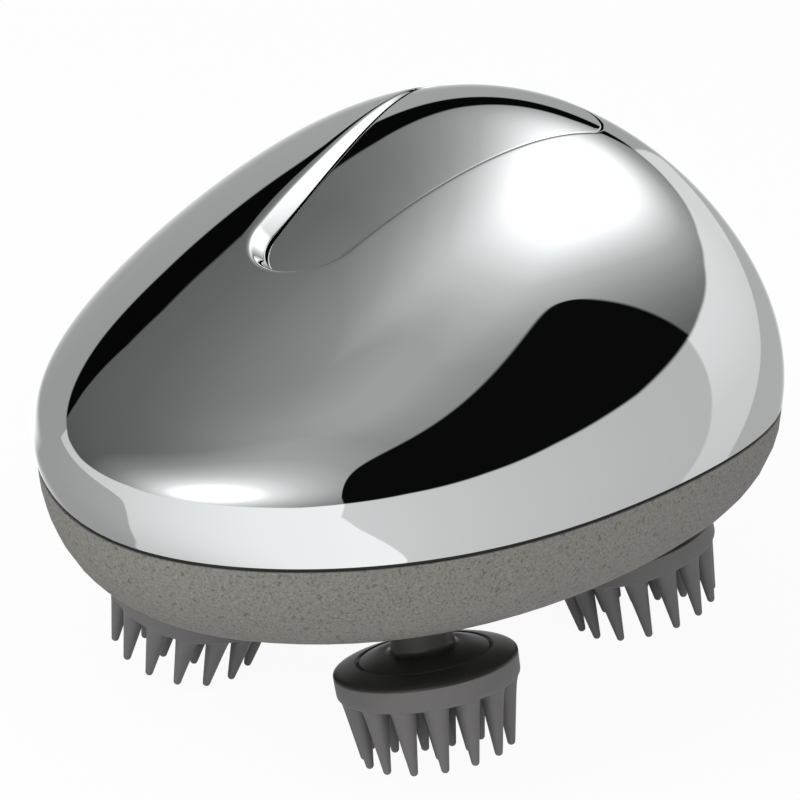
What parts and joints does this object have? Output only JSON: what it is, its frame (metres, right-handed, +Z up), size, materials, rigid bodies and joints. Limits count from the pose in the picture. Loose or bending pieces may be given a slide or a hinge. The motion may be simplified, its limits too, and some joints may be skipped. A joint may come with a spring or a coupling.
{
  "type": "electric scalp massager",
  "caption": "Hand-held electric scalp massager: chrome egg-shaped dome with a petal power key over a speckled base, and tilted rotating heads with silicone tines below.",
  "frame": {"origin": "centre of the bounding box on the plane of the lowest tine tips, z = 0", "axes": "+Z up from the tips to the dome, nose towards -Y, tail with the charging socket towards +Y"},
  "size_m": [0.11, 0.125, 0.092],
  "materials": {
    "chrome": "mirror polish",
    "speckled": "matte with fine dark speckles",
    "seam_rubber": "satin",
    "cup_black": "gloss",
    "silicone": "satin",
    "tray_grey": "matte",
    "steel": "ground",
    "zinc_screw": "plated",
    "acetal": "satin",
    "plate_black": "matte",
    "gearbox_metal": "satin",
    "motor_can": "drawn",
    "bronze": "sintered",
    "seal_rubber": "satin",
    "cell_wrap": "shrink wrap",
    "board": "solder mask",
    "switch_black": "matte",
    "cushion_silicone": "satin"
  },
  "bodies": {
    "body": {"top_shell": "chrome", "key_tray": "tray_grey", "key_pin": "steel", "key_cushion": "cushion_silicone", "seam_gasket": "seam_rubber", "lower_housing": "speckled", "gear_plate": "plate_black", "gearbox": "gearbox_metal", "motor": "motor_can", "upper_bushes": "bronze", "lower_bushes": "bronze", "shaft_seals": "seal_rubber", "battery_cell": "cell_wrap", "battery_cradle": "plate_black", "control_board": "board", "tact_switch": "switch_black", "charging_socket": "switch_black", "case_screws": "zinc_screw", "plate_screws": "zinc_screw", "gearbox_screws": "zinc_screw", "board_screws": "zinc_screw"},
    "key": {"power_key": "chrome"},
    "drive": {"drive_shaft": "steel", "sun_gear": "acetal"},
    "head_1": {"spindle_1": "steel", "spindle_gear_1": "acetal", "head_cup_1": "cup_black", "head_pad_1": "silicone"},
    "head_2": {"spindle_2": "steel", "spindle_gear_2": "acetal", "head_cup_2": "cup_black", "head_pad_2": "silicone"},
    "head_3": {"spindle_3": "steel", "spindle_gear_3": "acetal", "head_cup_3": "cup_black", "head_pad_3": "silicone"},
    "head_4": {"spindle_4": "steel", "spindle_gear_4": "acetal", "head_cup_4": "cup_black", "head_pad_4": "silicone"}
  },
  "joints": [
    {"name": "key_press", "type": "hinge", "parent": "body", "child": "key", "pos_m": [0, 0.0404, 0.08396], "axis": [1, 0, 0], "range_deg": [0, 0.8], "stiffness_Nm_per_rad": 1.2, "springref_deg": -1.15, "deforming": ["key_cushion"]},
    {"name": "drive_spin", "type": "hinge", "parent": "body", "child": "drive", "pos_m": [0, 0.0105, 0.0446], "axis": [0, 0, 1], "continuous": true},
    {"name": "head_1_spin", "type": "hinge", "parent": "body", "child": "head_1", "pos_m": [-0.0214, -0.01694, 0.0264], "axis": [0, 0, 1], "continuous": true},
    {"name": "head_2_spin", "type": "hinge", "parent": "body", "child": "head_2", "pos_m": [0.0214, -0.01694, 0.0264], "axis": [0, 0, 1], "continuous": true},
    {"name": "head_3_spin", "type": "hinge", "parent": "body", "child": "head_3", "pos_m": [0.0214, 0.03794, 0.0264], "axis": [0, 0, 1], "continuous": true},
    {"name": "head_4_spin", "type": "hinge", "parent": "body", "child": "head_4", "pos_m": [-0.0214, 0.03794, 0.0264], "axis": [0, 0, 1], "continuous": true}
  ],
  "couplings": [
    {"joint": "head_1_spin", "follows": "drive_spin", "ratio": -2.2222},
    {"joint": "head_2_spin", "follows": "drive_spin", "ratio": -2.2222},
    {"joint": "head_3_spin", "follows": "drive_spin", "ratio": -2.2222},
    {"joint": "head_4_spin", "follows": "drive_spin", "ratio": -2.2222}
  ]
}
